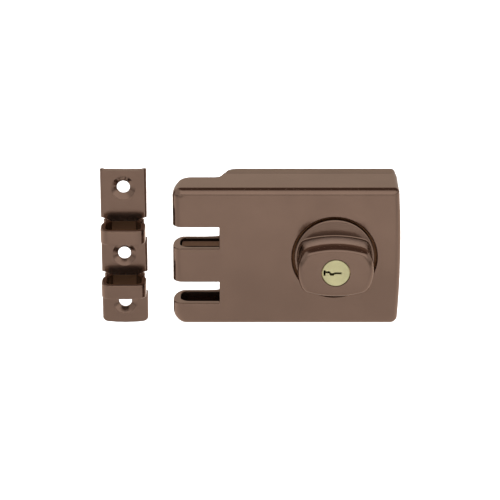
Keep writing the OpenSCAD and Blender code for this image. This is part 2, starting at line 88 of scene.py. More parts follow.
# Case: fingers, slots and the step behind them
FINGER_BACK = FRONT + 20
SLOT_END = LEFT + 24.6
SLOT_H = 12
SLOT_LOW = (-25.9, 4.8)              # bottoms of the two slots
SLOT_CORNER_R = 0.35
STEP_HOLLOW_X = SLOT_END - 2.9       # centre of the step's concave curve
STEP_CONCAVE_R = 3.5
STEP_CONVEX_R = 6.0
STEP_SLOPE = math.radians(20)
STEP_CORNER_R = 0.6

# Case: inside
CAVITY_LEFT = LEFT + 3.8
CAVITY_FRONT = FRONT + 3.7
CAVITY_BACK = FINGER_BACK - 2.2
CAVITY_RIGHT = SLOT_END + 3.5        # runs into the main space, which starts at MAIN_LEFT
CAVITY_CORNER_R = 5.0
CAVITY_LIP = 0.5
MAIN_LEFT = SLOT_END + 2.7
REAR_LEFT = SLOT_END + 5.2
INNER_TOP = TOP - 2.5
INNER_RIGHT = RIGHT - 2.8
FRONT_WALL = 3
WALL_BACK = FRONT + FRONT_WALL
BOSSES = ((29.2, 31.6), (29.2, -31.6), (-22, 31.8), (-22, -31.8))
BOSS_R = 4
BOSS_HOLE_R = 1.6
BOSS_HOLE_DEPTH = 11
OPENING_R = 22.35
OPENING_LIP = 0.6

# Knob
KNOB_STEPS = 144                     # points round the knob
KNOB_ANGLES = [2 * math.pi * i / KNOB_STEPS for i in range(KNOB_STEPS)]
DISC_R = 21
DISC_EDGE_R = 0.45
FLANGE_R = GRIP_HIGH.z
FLANGE_FRONT = WALL_BACK + 0.1
FLANGE_BACK = GRIP_HIGH.y
FLANGE_EDGE = 0.3
GRIP_FRONT = GRIP_LOW.y
GRIP_HALF_H = 14.6
GRIP_HALF_W = 19.8
GRIP_WAIST = 12.4                    # half height at the grip's foot
GRIP_WAIST_POWER = 1.3
GRIP_FRONT_D = 8.0                   # top and bottom front edges: an ellipse
GRIP_FRONT_H = 3.0
GRIP_SIDE_R = 3.2
GRIP_BASE_R = 0.7                    # fillet between the grip's foot and the disc
GRIP_BASE_SIDES = 0.4                # share of that fillet at the grip's left and right
GRIP_BOW_R = 52                      # bow of the grip's top and bottom
GRIP_CORNER_POWER = 28
DOME_R = 115
BODY_R = 9.2                         # space for the cylinder's body
CHAMBER_END = 16.6                   # the pin chambers beside it
CHAMBER_HALF = 3.4
HUB_SCREWS = ((15.6, 8.6), (-15.6, 8.6), (-15.6, -8.6), (15.6, -8.6))
HUB_SCREW_R = 1.5
HUB_SCREW_FRONT = FRONT + 1.4
WEAR_AND_SHEEN_FRONT = GRIP_FRONT + 5.6        # hand wear and painted sheen on the grip's top and bottom
WEAR_AND_SHEEN_BACK = FRONT - 2.2

# Key plug
PLUG_FACE_R = PLUG_HIGH.x
PLUG_R = 6.4
PLUG_FACE_T = 1.5
PLUG_EDGE_R = 0.25
PLUG_HOLE_R = PLUG_FACE_R + 0.3
PLUG_HOLE_LIP = 0.3
PLUG_HOLE_BACK = GRIP_FRONT + 4
PLUG_SEAT = GRIP_FRONT + PLUG_FACE_T + 0.2
PIN_COUNT = 5
PIN_HOLE_R = 1.45
PIN_FIRST = 6.2                      # from the plug's face to the first pin hole
PIN_PITCH = 3.9

# Strike
STRIKE_X = (STRIKE_LOW.x + STRIKE_HIGH.x) / 2
STRIKE_HALF = (STRIKE_HIGH.x - STRIKE_LOW.x) / 2
STRIKE_BACK = STRIKE_HIGH.y
STRIKE_T = 3
STRIKE_FRONT = STRIKE_BACK - STRIKE_T
STRIKE_EDGE_R = 1.6
STRIKE_BACK_EDGE = 0.2
STRIKE_CORNER_R = 2.2
STRIKE_HOLES = (STRIKE_HIGH.z - 10.3, STRIKE_HIGH.z - 47.7, STRIKE_HIGH.z - 75.2)
SINK_R = 6.3                         # rim of a screw hole's countersink
SINK_RIM = 0.35
SINK_FOOT_R = 3.65
SCREW_HOLE_R = 3.45
RING_FRONT = STRIKE_LOW.y
RING_H = 8
RING_WALL = 2.7
RING_LOW = (SLOT_LOW[1] + 0.3, SLOT_LOW[0] + 0.3)
RING_HALF = STRIKE_HALF - 0.4
RING_BEND_R = 5.4
RING_NECK = 9                        # half width where the ring meets the plate
RING_SHOULDER = 3.4                  # from the plate to where the ring is at its full width
RING_EDGE_R = 0.7
NOTCH_GAP = 0.9                      # from a ring to the V notch in the plate's side
NOTCH_DEPTH = 3.1
NOTCH_TIP = 0.1                      # half heights: at the tip, away from the ring, towards it
NOTCH_OUTER = 1.1
NOTCH_INNER = 0.6
WAIST_DEPTH = 1.5                    # how far the plate stands back beside a ring

# ---------------------------------------------------------------- mesh tools


def round_in(distance, radius):
    """How far a rounded edge stands back, at a distance from the face that it starts at."""
    if distance >= radius:
        return 0.0
    return radius - math.sqrt(radius * radius - (radius - distance) ** 2)


def oval_in(distance, depth, width):
    """The same for an edge rounded as an ellipse, depth across the face and width into it."""
    return width / depth * round_in(distance, depth)


def round_steps(radius, count):
    """Distances from a face that step evenly round an edge of that radius."""
    return [radius * (1 - math.cos(math.pi / 2 * i / count)) for i in range(count + 1)]


def arc(centre, radii, start, end, count):
    """Points of an elliptic arc, angles in degrees."""
    points = []
    for i in range(count + 1):
        angle = math.radians(start + (end - start) * i / count)
        points.append((centre[0] + radii[0] * math.cos(angle), centre[1] + radii[1] * math.sin(angle)))
    return points


def mesh_piece(name, points, faces):
    """A new object from points in mm; points at the same place become one."""
    mesh = bpy.data.meshes.new(name)
    piece = bpy.data.objects.new(name, mesh)
    bpy.context.scene.collection.objects.link(piece)
    bm = bmesh.new()
    verts = [bm.verts.new(Vector(p) * MM) for p in points]
    for face in faces:
        bm.faces.new([verts[i] for i in face])
    bmesh.ops.remove_doubles(bm, verts=bm.verts, dist=0.002 * MM)
    bmesh.ops.dissolve_degenerate(bm, edges=bm.edges, dist=0.002 * MM)
    bmesh.ops.recalc_face_normals(bm, faces=bm.faces)
    bm.to_mesh(mesh)
    bm.free()
    return piece


def loft(name, rings):
    """A closed solid through rings of points, all with the same count."""
    count = len(rings[0])
    points = [p for ring in rings for p in ring]
    faces = [list(range(count))[::-1], [len(points) - count + i for i in range(count)]]
    for k in range(len(rings) - 1):
        for i in range(count):
            j = (i + 1) % count
            faces.append([k * count + i, k * count + j, (k + 1) * count + j, (k + 1) * count + i])
    return mesh_piece(name, points, faces)


def tube_loft(name, rings):
    """A closed ring-shaped solid: the last ring joins the first."""
    count = len(rings[0])
    points = [p for ring in rings for p in ring]
    faces = []
    for k in range(len(rings)):
        n = (k + 1) % len(rings)
        for i in range(count):
            j = (i + 1) % count
            faces.append([k * count + i, k * count + j, n * count + j, n * count + i])
    return mesh_piece(name, points, faces)


def turned(name, profile, centre=(0, 0), steps=96):
    """A solid turned about a line along Y. The profile is (radius, y) from axis to axis."""
    rings = []
    for radius, y in profile:
        ring = arc(centre, (radius, radius), 0, 360, steps)[:-1]
        rings.append([(x, y, z) for x, z in ring])
    return loft(name, rings)


def rod_y(name, x, z, radius, y0, y1, steps=32):
    """A plain round rod along Y, for cutting and joining."""
    return turned(name, [(radius, y0), (radius, y1)], (x, z), steps)


def block(name, low, high):
    """A plain block, for cutting and joining."""
    ring = [(low[0], low[1]), (high[0], low[1]), (high[0], high[1]), (low[0], high[1])]
    return loft(name, [[(x, y, z) for x, y in ring] for z in (low[2], high[2])])


def combine(piece, tool, operation):
    """Cuts tool out of piece, or joins it on, and deletes tool."""
    modifier = piece.modifiers.new("combine", "BOOLEAN")
    modifier.object = tool
    modifier.operation = operation
    modifier.solver = "EXACT"
    depsgraph = bpy.context.evaluated_depsgraph_get()
    mesh = bpy.data.meshes.new_from_object(piece.evaluated_get(depsgraph))
    piece.modifiers.clear()
    old = piece.data
    piece.data = mesh
    mesh.name = piece.name
    bpy.data.meshes.remove(old)
    bpy.data.objects.remove(tool)


def cut(piece, *tools):
    for tool in tools:
        combine(piece, tool, "DIFFERENCE")


def join(piece, *tools):
    for tool in tools:
        combine(piece, tool, "UNION")


def shade(piece, sharp=38):
    """Smooth shading with sharp edges kept, and normals that follow the larger faces."""
    mesh = piece.data
    bm = bmesh.new()
    bm.from_mesh(mesh)
    bmesh.ops.remove_doubles(bm, verts=bm.verts, dist=0.001 * MM)
    bmesh.ops.dissolve_degenerate(bm, edges=bm.edges, dist=0.001 * MM)
    bm.to_mesh(mesh)
    bm.free()
    for polygon in mesh.polygons:
        polygon.use_smooth = True
    mesh.set_sharp_from_angle(angle=math.radians(sharp))
    weighted = piece.modifiers.new("weighted_normals", "WEIGHTED_NORMAL")
    weighted.mode = "FACE_AREA"
    weighted.weight = 100
    weighted.keep_sharp = True


# ---------------------------------------------------------------- case


def step_x(y):
    """Left side of the case behind the fingers, an S curve seen from above."""
    hollow_y = FINGER_BACK + STEP_CONCAVE_R
    slope_x = STEP_HOLLOW_X + STEP_CONCAVE_R * math.cos(STEP_SLOPE)
    slope_y = hollow_y - STEP_CONCAVE_R * math.sin(STEP_SLOPE)
    end_y = -STEP_CONVEX_R + STEP_CONVEX_R * math.sin(STEP_SLOPE)
    end_x = slope_x + (end_y - slope_y) * math.tan(STEP_SLOPE)
    if y <= slope_y:
        return STEP_HOLLOW_X + math.sqrt(max(STEP_CONCAVE_R ** 2 - (y - hollow_y) ** 2, 0))
    if y <= end_y:
        return slope_x + (y - slope_y) * math.tan(STEP_SLOPE)
    crown_x = end_x + STEP_CONVEX_R * math.cos(STEP_SLOPE)
    return crown_x - math.sqrt(max(STEP_CONVEX_R ** 2 - (y + STEP_CONVEX_R) ** 2, 0))


def bow(z):
    """How far the bowed right end has fallen back at height z."""
    radius = TOP * TOP / (2 * END_BOW) + END_BOW / 2
    return radius - math.sqrt(radius * radius - z * z)


def left_side(left, slot_x, slot_in):
    """Points up the left side: three fingers and the two slots between them."""
    points = []
    room = max(slot_x - left, 0) / 3
    outer = min(EDGE_R, room)
    inner = min(SLOT_CORNER_R, room)
    for low in SLOT_LOW:
        z0 = low - slot_in
        z1 = low + SLOT_H + slot_in
        points += arc((left + outer, z0 - outer), (outer, outer), 180, 90, 4)
        points += arc((slot_x - inner, z0 + inner), (inner, inner), -90, 0, 3)
        points += arc((slot_x - inner, z1 - inner), (inner, inner), 0, 90, 3)
        points += arc((left + outer, z1 + outer), (outer, outer), 270, 180, 4)
    return points


def right_side(side):
    """Points down the right side: the upper corner, the bowed end and the lower corner."""
    points = []
    for radius, sign, start in ((CORNER_TOP_R, 1, 90), (CORNER_LOW_R, -1, 0)):
        r = max(radius - side, CORNER_MIN)
        z = sign * (TOP - side - r)
        x = RIGHT - side - bow(z) - r
        points += arc((x, z), (r, r), start, start - 90, 8)
        if sign > 0:
            points += [(RIGHT - side - bow(h), h) for h in END_HEIGHTS]
    return points


def case_ring(y, behind, inset=0.0):
    """The outline of the case at depth y. behind is True behind the fingers."""
    depth = y - FRONT
    side = round_in(depth, FRONT_R) + inset
    top = TOP - side
    slot_in = round_in(depth, EDGE_R)
    if behind:
        left = step_x(y) + inset
        high_corner = low_corner = (STEP_CORNER_R, STEP_CORNER_R)
        slot_x = max(SLOT_END + inset, left)
    else:
        end = round_in(depth, END_R) + oval_in(FINGER_BACK - y, END_BACK_D, END_BACK_W)
        left = LEFT + end
        high_corner, low_corner = [[max(radius - gone, CORNER_LEFT_MIN) for gone in (end, side)]
                                   for radius in (CORNER_LEFT_TOP_R, CORNER_LEFT_LOW_R)]
        slot_in += round_in(FINGER_BACK - y, EDGE_R)
        slot_x = SLOT_END + round_in(depth, EDGE_R)
    outline = arc((left + high_corner[0], top - high_corner[1]), high_corner, 180, 90, 12)
    outline += right_side(side)
    outline += arc((left + low_corner[0], low_corner[1] - top), low_corner, 270, 180, 12)
    outline += left_side(left, slot_x, slot_in)
    return [(x, y, z) for x, z in outline]


def cover_rings():
    """Outlines of the cover from its front to the joint, closest together where its edges round off."""
    front = sorted(set(round_steps(END_R, 14) + round_steps(FRONT_R, 10) + round_steps(EDGE_R, 4)))
    back = sorted(set(round_steps(END_BACK_D, 14) + round_steps(EDGE_R, 4)), reverse=True)
    rings = [case_ring(FRONT + d, False) for d in front]
    rings += [case_ring(FINGER_BACK - d, False) for d in back]
    depth = JOINT - SEAM_R - FINGER_BACK
    rings += [case_ring(FINGER_BACK + depth * (i / 14) ** 1.5, True) for i in range(15)]
    rings += [case_ring(JOINT - SEAM_R + d, True, round_in(SEAM_R - d, SEAM_R))
              for d in (SEAM_R / 3, SEAM_R * 2 / 3, SEAM_R * 0.9, SEAM_R)]
    return rings


def finger_cavity(name, low, high, low_open, high_open):
    """Space inside a finger. An open end flares into a rounded lip and runs on past the slot's face."""
    flare = [(d, round_in(d, CAVITY_LIP)) for d in round_steps(CAVITY_LIP, 5)]
    levels = [(low, 0)]
    if low_open:
        levels = [(low - 1, CAVITY_LIP)] + [(low + d, grow) for d, grow in flare]
    if high_open:
        levels += [(high - d, grow) for d, grow in reversed(flare)] + [(high + 1, CAVITY_LIP)]
    else:
        levels += [(high, 0)]
    rings = []
    for z, grow in levels:
        r = CAVITY_CORNER_R + grow
        x, y0, y1 = CAVITY_LEFT - grow, CAVITY_FRONT - grow, CAVITY_BACK + grow
        ring = arc((x + r, y0 + r), (r, r), 270, 180, 8) + arc((x + r, y1 - r), (r, r), 180, 90, 8)
        ring += [(CAVITY_RIGHT, y1), (CAVITY_RIGHT, y0)]
        rings.append([(px, py, z) for px, py in ring])
    return loft(name, rings)


def case_cover():
    cover = loft("case_shell", cover_rings())
    cut(cover,
        block("cut", (MAIN_LEFT, WALL_BACK, -INNER_TOP), (INNER_RIGHT, FINGER_BACK, INNER_TOP)),
        block("cut", (REAR_LEFT, FINGER_BACK - 1, -INNER_TOP), (INNER_RIGHT, 1, INNER_TOP)),
        finger_cavity("cut", SLOT_LOW[1] + SLOT_H, INNER_TOP, True, False),
        finger_cavity("cut", SLOT_LOW[0] + SLOT_H, SLOT_LOW[1], True, True),
        finger_cavity("cut", -INNER_TOP, SLOT_LOW[0], False, True))
    for x, z in BOSSES:
        join(cover, rod_y("boss", x, z, BOSS_R, WALL_BACK - 0.5, JOINT))
    lip = [(OPENING_R + OPENING_LIP, FRONT - 1)]
    lip += [(OPENING_R + round_in(d, OPENING_LIP), FRONT + d) for d in round_steps(OPENING_LIP, 6)]
    cut(cover, turned("cut", lip + [(OPENING_R, WALL_BACK + 0.2)]))
    for x, z in BOSSES:
        cut(cover, rod_y("cut", x, z, BOSS_HOLE_R, JOINT - BOSS_HOLE_DEPTH, 1))
    shade(cover)
    return cover


# ---------------------------------------------------------------- knob


def grip_radius(angle, half_w, half_h):
    """Distance from the axis to the grip's outline: a circle cut by two bowed faces, corners rounded."""
    s, c = abs(math.sin(angle)), math.cos(angle) ** 2 / (2 * GRIP_BOW_R)
    flat = half_h / s if c < 1e-9 else (math.sqrt(s * s + 4 * c * half_h) - s) / (2 * c)
    power = GRIP_CORNER_POWER
    return (half_w ** -power + flat ** -power) ** (-1 / power)


def dome(radius):
    """Height of the domed disc above the case's front."""
    return math.sqrt(DOME_R ** 2 - radius ** 2) - math.sqrt(DOME_R ** 2 - DISC_R ** 2)


def circle(radius, y):
    """A round section of the knob."""
    return [(radius * math.cos(a), y, radius * math.sin(a)) for a in KNOB_ANGLES]


def grip_section(half_w, half_h, y):
    radii = [(a, grip_radius(a, half_w, half_h)) for a in KNOB_ANGLES]
    return [(r * math.cos(a), y, r * math.sin(a)) for a, r in radii]


def dome_ring(flare, share, lift=0.0):
    """A ring on the dome: beside the grip's foot at share 0, at the disc's rim at share 1."""
    ring = []
    for a in KNOB_ANGLES:
        r = grip_radius(a, GRIP_HALF_W + flare * GRIP_BASE_SIDES, GRIP_WAIST + flare)
        r += (DISC_R - DISC_EDGE_R - r) * share
        ring.append((r * math.cos(a), FRONT - dome(r) - lift, r * math.sin(a)))
    return ring


def knob_rings():
    """Sections of the knob from the plug's hole out over the grip and the disc to the flange's back."""
    rings = [circle(PLUG_HOLE_R, PLUG_HOLE_BACK)]
    rings += [circle(PLUG_HOLE_R + round_in(d, PLUG_HOLE_LIP), GRIP_FRONT + d)
              for d in reversed(round_steps(PLUG_HOLE_LIP, 4))]
    for d in sorted(set(round_steps(GRIP_FRONT_D, 20) + round_steps(GRIP_SIDE_R, 8))):
        rings.append(grip_section(GRIP_HALF_W - round_in(d, GRIP_SIDE_R),
                                  GRIP_HALF_H - oval_in(d, GRIP_FRONT_D, GRIP_FRONT_H), GRIP_FRONT + d))
    start = GRIP_FRONT + GRIP_FRONT_D
    end = FRONT - dome(GRIP_WAIST) - GRIP_BASE_R
    for i in range(1, 8):
        share = i / 8
        half_h = GRIP_HALF_H + (GRIP_WAIST - GRIP_HALF_H) * share ** GRIP_WAIST_POWER
        rings.append(grip_section(GRIP_HALF_W, half_h, start + (end - start) * share))
    rings += [dome_ring(round_in(d, GRIP_BASE_R), 0, d) for d in reversed(round_steps(GRIP_BASE_R, 7))]
    rings += [dome_ring(GRIP_BASE_R, i / 8) for i in range(1, 9)]
    rings += [circle(DISC_R - round_in(d, DISC_EDGE_R), FRONT + d) for d in round_steps(DISC_EDGE_R, 4)[1:]]
    rings += [circle(DISC_R, FLANGE_FRONT), circle(FLANGE_R - FLANGE_EDGE, FLANGE_FRONT),
              circle(FLANGE_R, FLANGE_FRONT + FLANGE_EDGE), circle(FLANGE_R, FLANGE_BACK - FLANGE_EDGE),
              circle(FLANGE_R - FLANGE_EDGE, FLANGE_BACK), circle(BODY_R, FLANGE_BACK),
              circle(BODY_R, PLUG_HOLE_BACK)]
    return rings


def knob():
    piece = tube_loft("knob_casting", knob_rings())
    cut(piece,
        rod_y("cut", 0, 0, BODY_R, PLUG_SEAT, PLUG_HOLE_BACK + 1, 64),
        block("cut", (BODY_R - 3, PLUG_SEAT, -CHAMBER_HALF), (CHAMBER_END, 0, CHAMBER_HALF)))
    for x, z in HUB_SCREWS:
        cut(piece, rod_y("cut", x, z, HUB_SCREW_R, HUB_SCREW_FRONT, 0))
    shade(piece)
    return piece


# ---------------------------------------------------------------- key plug


def keyway_outline():
    """The keyway from the front: a short bar, a stepped middle and a thin blade."""
    return [(-6.5, -1.35), (-5.4, -1.35), (-5.4, 0), (-4.2, 0.05), (-3.5, 0), (-3.4, -0.5), (-2.9, -1.3),
            (-1.2, -1.3), (-0.6, -0.5), (2.9, -0.5), (2.9, 0.5), (-0.6, 0.5), (-1.4, 0.1), (-2.6, 0.1),
            (-3.2, 1.1), (-5.4, 1.1), (-5.4, 1.75), (-6.5, 1.75)]


def plug():
    front, back = PLUG_LOW.y, PLUG_HIGH.y
    profile = [(0, front)]
    profile += [(PLUG_FACE_R - round_in(d, PLUG_EDGE_R), front + d) for d in round_steps(PLUG_EDGE_R, 4)]
    profile += [(PLUG_FACE_R, front + PLUG_FACE_T), (PLUG_R, front + PLUG_FACE_T), (PLUG_R, back), (0, back)]
    piece = turned("plug_turned", profile)
    keyway = keyway_outline()
    cut(piece, loft("cut", [[(x, y, z) for x, z in keyway] for y in (front - 1, back + 1)]))
    for i in range(PIN_COUNT):
        hole = arc((front + PIN_FIRST + PIN_PITCH * i, 0), (PIN_HOLE_R, PIN_HOLE_R), 0, 360, 24)[:-1]
        cut(piece, loft("cut", [[(x, y, z) for y, z in hole] for x in (0, PLUG_R + 1)]))
    shade(piece, 30)
    return piece


# ---------------------------------------------------------------- strike


def smooth_path(path, rounds=2):
    """Rounds the bends of an open path by cutting its corners; its ends stay."""
    for _ in range(rounds):
        made = [path[0]]
        for a, b in zip(path, path[1:]):
            made.append((a[0] * 0.75 + b[0] * 0.25, a[1] * 0.75 + b[1] * 0.25))
            made.append((a[0] * 0.25 + b[0] * 0.75, a[1] * 0.25 + b[1] * 0.75))
        made.append(path[-1])
        path = made
    return path


def strike_ring(low):
    """A strap bent forward from the plate: a rounded bar section swept round a path seen from above."""
    mid = RING_WALL / 2
    bend = RING_BEND_R - mid
    neck, neck_y = RING_NECK - mid, STRIKE_FRONT + 1.2
    side, shoulder_y = RING_HALF - mid, STRIKE_FRONT - RING_SHOULDER
    front = RING_FRONT + mid
    path = [(-neck, neck_y), (-neck, STRIKE_FRONT + 0.1), (-side, shoulder_y)]
    path += arc((bend - side, front + bend), (bend, bend), 180, 270, 10)
    path += arc((side - bend, front + bend), (bend, bend), 270, 360, 10)
    path += [(side, shoulder_y), (neck, STRIKE_FRONT + 0.1), (neck, neck_y)]
    path = smooth_path(path)
    section = []
    for sx, sz, start in ((1, 1, 0), (-1, 1, 90), (-1, -1, 180), (1, -1, 270)):
        corner = (sx * (mid - RING_EDGE_R), sz * (RING_H / 2 - RING_EDGE_R))
        section += arc(corner, (RING_EDGE_R, RING_EDGE_R), start, start + 90, 5)
    rings = []
    for i, p in enumerate(path):
        before, after = path[max(i - 1, 0)], path[min(i + 1, len(path) - 1)]
        along = Vector((after[0] - before[0], after[1] - before[1])).normalized()
        out = Vector((along.y, -along.x))
        rings.append([(STRIKE_X + p[0] + out.x * u, p[1] + out.y * u, low + RING_H / 2 + v)
                      for u, v in section])
    return loft("ring", rings)


def side_notch(z, way):
    """A V notch in the plate's right side at height z. way is 1 above a ring and -1 below it."""
    tip, waist = STRIKE_HALF - NOTCH_DEPTH, STRIKE_HALF - WAIST_DEPTH
    points = [(STRIKE_HALF, z + NOTCH_OUTER * way), (tip, z + NOTCH_TIP * way),
              (tip, z - NOTCH_TIP * way), (waist, z - NOTCH_INNER * way)]
    return points[::way]


def plate_outline():
    """Outline of the strike's plate from the front: the right half, top to bottom, then the left half."""
    top, low = STRIKE_HIGH.z, STRIKE_LOW.z
    right = [(0, top - 0.5), (STRIKE_HALF - 2.5, top - 0.4), (STRIKE_HALF - 0.8, top),
             (STRIKE_HALF, top - 0.3)]
    for ring in RING_LOW:
        right += side_notch(ring + RING_H + NOTCH_GAP, 1) + side_notch(ring - NOTCH_GAP, -1)
    corner = (STRIKE_HALF - STRIKE_CORNER_R, low + STRIKE_CORNER_R + 0.5)
    right += arc(corner, (STRIKE_CORNER_R, STRIKE_CORNER_R), 0, -80, 8)
    right += [(STRIKE_HALF * 0.5, low + 0.15), (0, low)]
    return right + [(-x, z) for x, z in reversed(right)][1:-1]


def plate_ring(outline, y, inset=0.0):
    """The plate's outline at depth y, narrowed by the inset."""
    return [(STRIKE_X + x * (1 - inset / STRIKE_HALF), y, z) for x, z in outline]


def screw_hole(z):
    """A countersunk hole with a softened rim."""
    rim = SINK_R + SINK_RIM
    profile = [(rim, STRIKE_FRONT - 1), (rim, STRIKE_FRONT), (SINK_R, STRIKE_FRONT + 0.12),
               (SINK_FOOT_R, STRIKE_FRONT + 1.75), (SCREW_HOLE_R, STRIKE_FRONT + 2.0),
               (SCREW_HOLE_R, STRIKE_BACK + 1)]
    return turned("cut", profile, (STRIKE_X, z), 64)


def strike():
    outline = plate_outline()
    rings = [plate_ring(outline, STRIKE_FRONT + d, round_in(d, STRIKE_EDGE_R))
             for d in round_steps(STRIKE_EDGE_R, 8)]
    rings += [plate_ring(outline, STRIKE_BACK - STRIKE_BACK_EDGE),
              plate_ring(outline, STRIKE_BACK, STRIKE_BACK_EDGE)]
    piece = loft("strike_casting", rings)
    for low in RING_LOW:
        join(piece, strike_ring(low))
    for z in STRIKE_HOLES:
        cut(piece, screw_hole(z))
    shade(piece, 30)
    return piece


# ---------------------------------------------------------------- materials


BROWN = (0.205, 0.132, 0.098)
# dark grease in the seam between cover and base; inside the strike's rings the same colour is painted shade
GREASE_AND_SHADE = (0.075, 0.038, 0.02)
# painted shade in the gap round the knob's disc
GAP_SHADE = (0.16, 0.078, 0.038)
# hand wear and painted sheen: a dull, diffuse brown on the grip's top and bottom
HAND_WEAR_AND_SHEEN = (0.12, 0.08, 0.061)
FAR = 1.0                            # in metres, past everything


def rgba(value):
    """A socket's colour, from three shares or from one grey."""
    return (*value, 1) if isinstance(value, tuple) else (value, value, value, 1)


class Nodes:
    """A short way to build the nodes of a material or of the world."""

    def __init__(self, owner, coordinates):
        owner.use_nodes = True
        self.tree = owner.node_tree
        self.place = self.add("ShaderNodeTexCoord").outputs[coordinates]

    def add(self, kind, **values):
        node = self.tree.nodes.new(kind)
        for key, value in values.items():
            setattr(node, key, value)
        return node

    def feed(self, socket, value):
        """Links a socket to another one, or sets it to a plain value."""
        if isinstance(value, bpy.types.NodeSocket):
            self.tree.links.new(value, socket)
        else:
            socket.default_value = value

    def axis(self, name, source=None):
        """One of X, Y and Z of the place on the object, or of another vector."""
        node = self.add("ShaderNodeSeparateXYZ")
        self.feed(node.inputs[0], source or self.place)
        return node.outputs[name]

    def math(self, operation, a, b=0.0):
        node = self.add("ShaderNodeMath", operation=operation)
        self.feed(node.inputs[0], a)
        self.feed(node.inputs[1], b)
        return node.outputs[0]

    def slope(self, source, start, end, kind="LINEAR"):
        """Goes from 0 to 1 between two values, and stays level outside them."""
        node = self.add("ShaderNodeMapRange", interpolation_type=kind)
        node.inputs["From Min"].default_value = start
        node.inputs["From Max"].default_value = end
        self.feed(node.inputs["Value"], source)
        return node.outputs["Result"]

    def ramp(self, source, stops):
        node = self.add("ShaderNodeValToRGB")
        elements = node.color_ramp.elements
        while len(elements) < len(stops):
            elements.new(0.5)
        for element, (at, value) in zip(elements, stops):
            element.position = at
            element.color = rgba(value)
        self.feed(node.inputs["Fac"], source)
        return node.outputs["Color"]

    def mix(self, factor, a, b):
        node = self.add("ShaderNodeMix", data_type="RGBA")
        for socket, value in ((node.inputs[0], factor), (node.inputs[6], a), (node.inputs[7], b)):
            self.feed(socket, value)
        return node.outputs[2]


class Recipe(Nodes):
    """The nodes of one material, round its own shader."""

    def __init__(self, name):
        self.material = bpy.data.materials.new(name)
        super().__init__(self.material, "Object")
        self.shader = self.tree.nodes["Principled BSDF"]

    def constant(self, **values):
        """Sets the shader's own sockets, such as Coat_Weight=0.4."""
        for key, value in values.items():
            self.shader.inputs[key.replace("_", " ")].default_value = value

    def drive(self, name, source):
        """Links one of the shader's sockets."""
        self.feed(self.shader.inputs[name], source)

    def noise(self, scale, detail, roughness, stretch=(1, 1, 1)):
        mapping = self.add("ShaderNodeMapping")
        mapping.inputs["Scale"].default_value = stretch
        self.feed(mapping.inputs["Vector"], self.place)
        node = self.add("ShaderNodeTexNoise")
        node.inputs["Scale"].default_value = scale
        node.inputs["Detail"].default_value = detail
        node.inputs["Roughness"].default_value = roughness
        self.feed(node.inputs["Vector"], mapping.outputs["Vector"])
        return node.outputs["Fac"]

    def band(self, source, low, high, soft):
        """1 between two values and 0 outside, with soft ends."""
        return self.math("MULTIPLY", self.slope(source, low - soft, low + soft, "SMOOTHSTEP"),
                         self.slope(source, high + soft, high - soft, "SMOOTHSTEP"))

    def knob_radius(self):
        x, z = self.axis("X"), self.axis("Z")
        return self.math("SQRT", self.math("ADD", self.math("MULTIPLY", x, x), self.math("MULTIPLY", z, z)))

    def tint(self, mask, colour, roughness, metallic=None):
        """Lays a colour, a roughness and a metallic share over what the shader has, where the mask is 1."""
        for name, value in (("Base Color", colour), ("Roughness", roughness)):
            under = self.shader.inputs[name].links[0].from_socket
            self.drive(name, self.mix(mask, under, rgba(value)))
        if metallic is not None:
            under = self.shader.inputs["Metallic"].default_value
            self.drive("Metallic", self.mix(mask, rgba(under), rgba(metallic)))

    def bump(self, source, strength, distance):
        node = self.add("ShaderNodeBump")
        node.inputs["Strength"].default_value = strength
        node.inputs["Distance"].default_value = distance
        self.feed(node.inputs["Height"], source)
        self.drive("Normal", node.outputs["Normal"])


def brown_coating(name, colour, roughness=0.15, peel=0.04, extra=None):
    """Glossy brown plating: tinted metal reflections, faint cloudiness, very slight orange peel."""
    recipe = Recipe(name)
    dark = tuple(c * 0.93 for c in colour)
    light = tuple(c * 1.05 for c in colour)
    smears = recipe.noise(120, 3, 0.6)
    recipe.drive("Base Color", recipe.ramp(recipe.noise(38, 4, 0.55), [(0.3, dark), (0.7, light)]))
    recipe.drive("Roughness", recipe.ramp(smears, [(0.3, roughness * 0.85), (0.75, roughness * 1.2)]))
    recipe.constant(Metallic=0.95, Specular_IOR_Level=0.4, Specular_Tint=(0.74, 0.67, 0.61, 1))
    recipe.bump(recipe.noise(900, 2, 0.5), peel, 0.0002)
    if extra:
        extra(recipe)
    return recipe.material


def seam_dirt(recipe):
    """Dirt in the fine joint between the cover and the base."""
    seam = recipe.band(recipe.axis("Y"), (JOINT - 0.5) * MM, (JOINT + 0.6) * MM, 0.2 * MM)
    recipe.tint(seam, GREASE_AND_SHADE, 0.5)


def knob_wear_and_painted_light(recipe):
    """Hands have dulled the top and bottom of the grip, and that dull diffuse patch is also a painted sheen
    there; painted shade darkens the gap round the disc.
    """
    # Painted sheen with hand wear: the grip's top and bottom, picked by the way they face, turn dull and
    # diffuse so that they show lighter
    facing = recipe.add("ShaderNodeTexCoord").outputs["Normal"]
    level = recipe.band(recipe.math("ABSOLUTE", recipe.axis("Z", facing)), 0.72, 1.5, 0.2)
    wear_and_sheen = recipe.band(recipe.axis("Y"), WEAR_AND_SHEEN_FRONT * MM, WEAR_AND_SHEEN_BACK * MM, 1.0 * MM)
    recipe.tint(recipe.math("MULTIPLY", level, wear_and_sheen), HAND_WEAR_AND_SHEEN, 0.5, 0.0)
    # Painted shade: the flange's face in the gap round the disc is darkened
    outside = recipe.band(recipe.knob_radius(), (DISC_R - 0.1) * MM, FAR, 0.1 * MM)
    behind = recipe.band(recipe.axis("Y"), (FRONT + 0.7) * MM, FAR, 0.3 * MM)
    recipe.tint(recipe.math("MULTIPLY", outside, behind), GAP_SHADE, 0.5)


